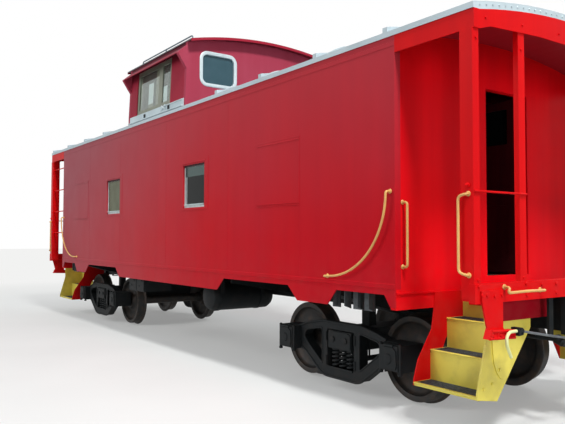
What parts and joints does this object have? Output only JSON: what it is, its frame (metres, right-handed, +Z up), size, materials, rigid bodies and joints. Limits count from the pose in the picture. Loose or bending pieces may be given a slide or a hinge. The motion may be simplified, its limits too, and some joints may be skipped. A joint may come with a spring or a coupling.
{
  "type": "cupola caboose",
  "caption": "Steel rail caboose with a roof cupola, end platforms with steps, and two four-wheel trucks that swivel and roll.",
  "frame": {"origin": "on the floor below the middle of the car, at the level of the wheel flanges' tips", "axes": "+X along the car towards the near end, +Z up, -Y the side with the pictured steps"},
  "size_m": [12.32, 3.0698, 4.61],
  "materials": {
    "red_car_paint": "satin enamel",
    "silver_roof_paint": "aluminium paint",
    "yellow_safety_paint": "satin enamel",
    "window_aluminium": "anodised",
    "window_glass": "clear",
    "galvanised_grating": "galvanised",
    "wheel_steel": "dull",
    "black_running_gear": "black paint",
    "floor_boards": "worn",
    "grey_fittings": "satin"
  },
  "bodies": {
    "car_body": {"air_brake_gear": "black_running_gear", "battery_box": "black_running_gear", "body_window_frames": "window_aluminium", "body_window_glass": "window_glass", "coupler_far": "black_running_gear", "coupler_near": "black_running_gear", "cupola_end_far": "red_car_paint", "cupola_end_frames": "window_aluminium", "cupola_end_near": "red_car_paint", "cupola_glass": "window_glass", "cupola_handrails": "silver_roof_paint", "cupola_roof": "silver_roof_paint", "cupola_sashes": "window_aluminium", "cupola_side_left": "red_car_paint", "cupola_side_right": "red_car_paint", "end_posts_far": "red_car_paint", "end_posts_near": "red_car_paint", "end_wall_far": "red_car_paint", "end_wall_near": "red_car_paint", "fascia_far": "red_car_paint", "fascia_near": "red_car_paint", "floor": "floor_boards", "grab_irons": "yellow_safety_paint", "hand_brakes": "grey_fittings", "ladders": "silver_roof_paint", "platform_far": "red_car_paint", "platform_near": "red_car_paint", "roof": "silver_roof_paint", "side_wall_left": "red_car_paint", "side_wall_right": "red_car_paint", "step_treads": "galvanised_grating", "steps_far": "yellow_safety_paint", "steps_near": "yellow_safety_paint", "uncoupling_levers": "grey_fittings", "underframe": "black_running_gear"},
    "near_truck": {"near_truck_bolster": "black_running_gear", "near_truck_brakes": "black_running_gear", "near_truck_frames": "black_running_gear", "near_truck_springs": "black_running_gear"},
    "near_inner_wheelset": {"near_inner_wheelset": "wheel_steel"},
    "near_outer_wheelset": {"near_outer_wheelset": "wheel_steel"},
    "near_door": {"near_door": "red_car_paint", "near_door_glass": "window_glass"},
    "far_truck": {"far_truck_bolster": "black_running_gear", "far_truck_brakes": "black_running_gear", "far_truck_frames": "black_running_gear", "far_truck_springs": "black_running_gear"},
    "far_inner_wheelset": {"far_inner_wheelset": "wheel_steel"},
    "far_outer_wheelset": {"far_outer_wheelset": "wheel_steel"},
    "far_door": {"far_door": "red_car_paint", "far_door_glass": "window_glass"}
  },
  "joints": [
    {"name": "near_truck_swivel", "type": "hinge", "parent": "car_body", "child": "near_truck", "pos_m": [3.6, 0, 0.68], "axis": [0, 0, 1], "range_deg": [-5, 5]},
    {"name": "near_inner_axle", "type": "hinge", "parent": "near_truck", "child": "near_inner_wheelset", "pos_m": [2.762, 0, 0.444], "axis": [0, 1, 0], "continuous": true},
    {"name": "near_outer_axle", "type": "hinge", "parent": "near_truck", "child": "near_outer_wheelset", "pos_m": [4.438, 0, 0.444], "axis": [0, 1, 0], "continuous": true},
    {"name": "near_door_hinge", "type": "hinge", "parent": "car_body", "child": "near_door", "pos_m": [4.747, 0.487, 1.25], "axis": [0, 0, 1], "range_deg": [-5, 90]},
    {"name": "far_truck_swivel", "type": "hinge", "parent": "car_body", "child": "far_truck", "pos_m": [-3.6, 0, 0.68], "axis": [0, 0, 1], "range_deg": [-5, 5]},
    {"name": "far_inner_axle", "type": "hinge", "parent": "far_truck", "child": "far_inner_wheelset", "pos_m": [-2.762, 0, 0.444], "axis": [0, 1, 0], "continuous": true},
    {"name": "far_outer_axle", "type": "hinge", "parent": "far_truck", "child": "far_outer_wheelset", "pos_m": [-4.438, 0, 0.444], "axis": [0, 1, 0], "continuous": true},
    {"name": "far_door_hinge", "type": "hinge", "parent": "car_body", "child": "far_door", "pos_m": [-4.747, -0.487, 1.25], "axis": [0, 0, 1], "range_deg": [-95, 0]}
  ]
}
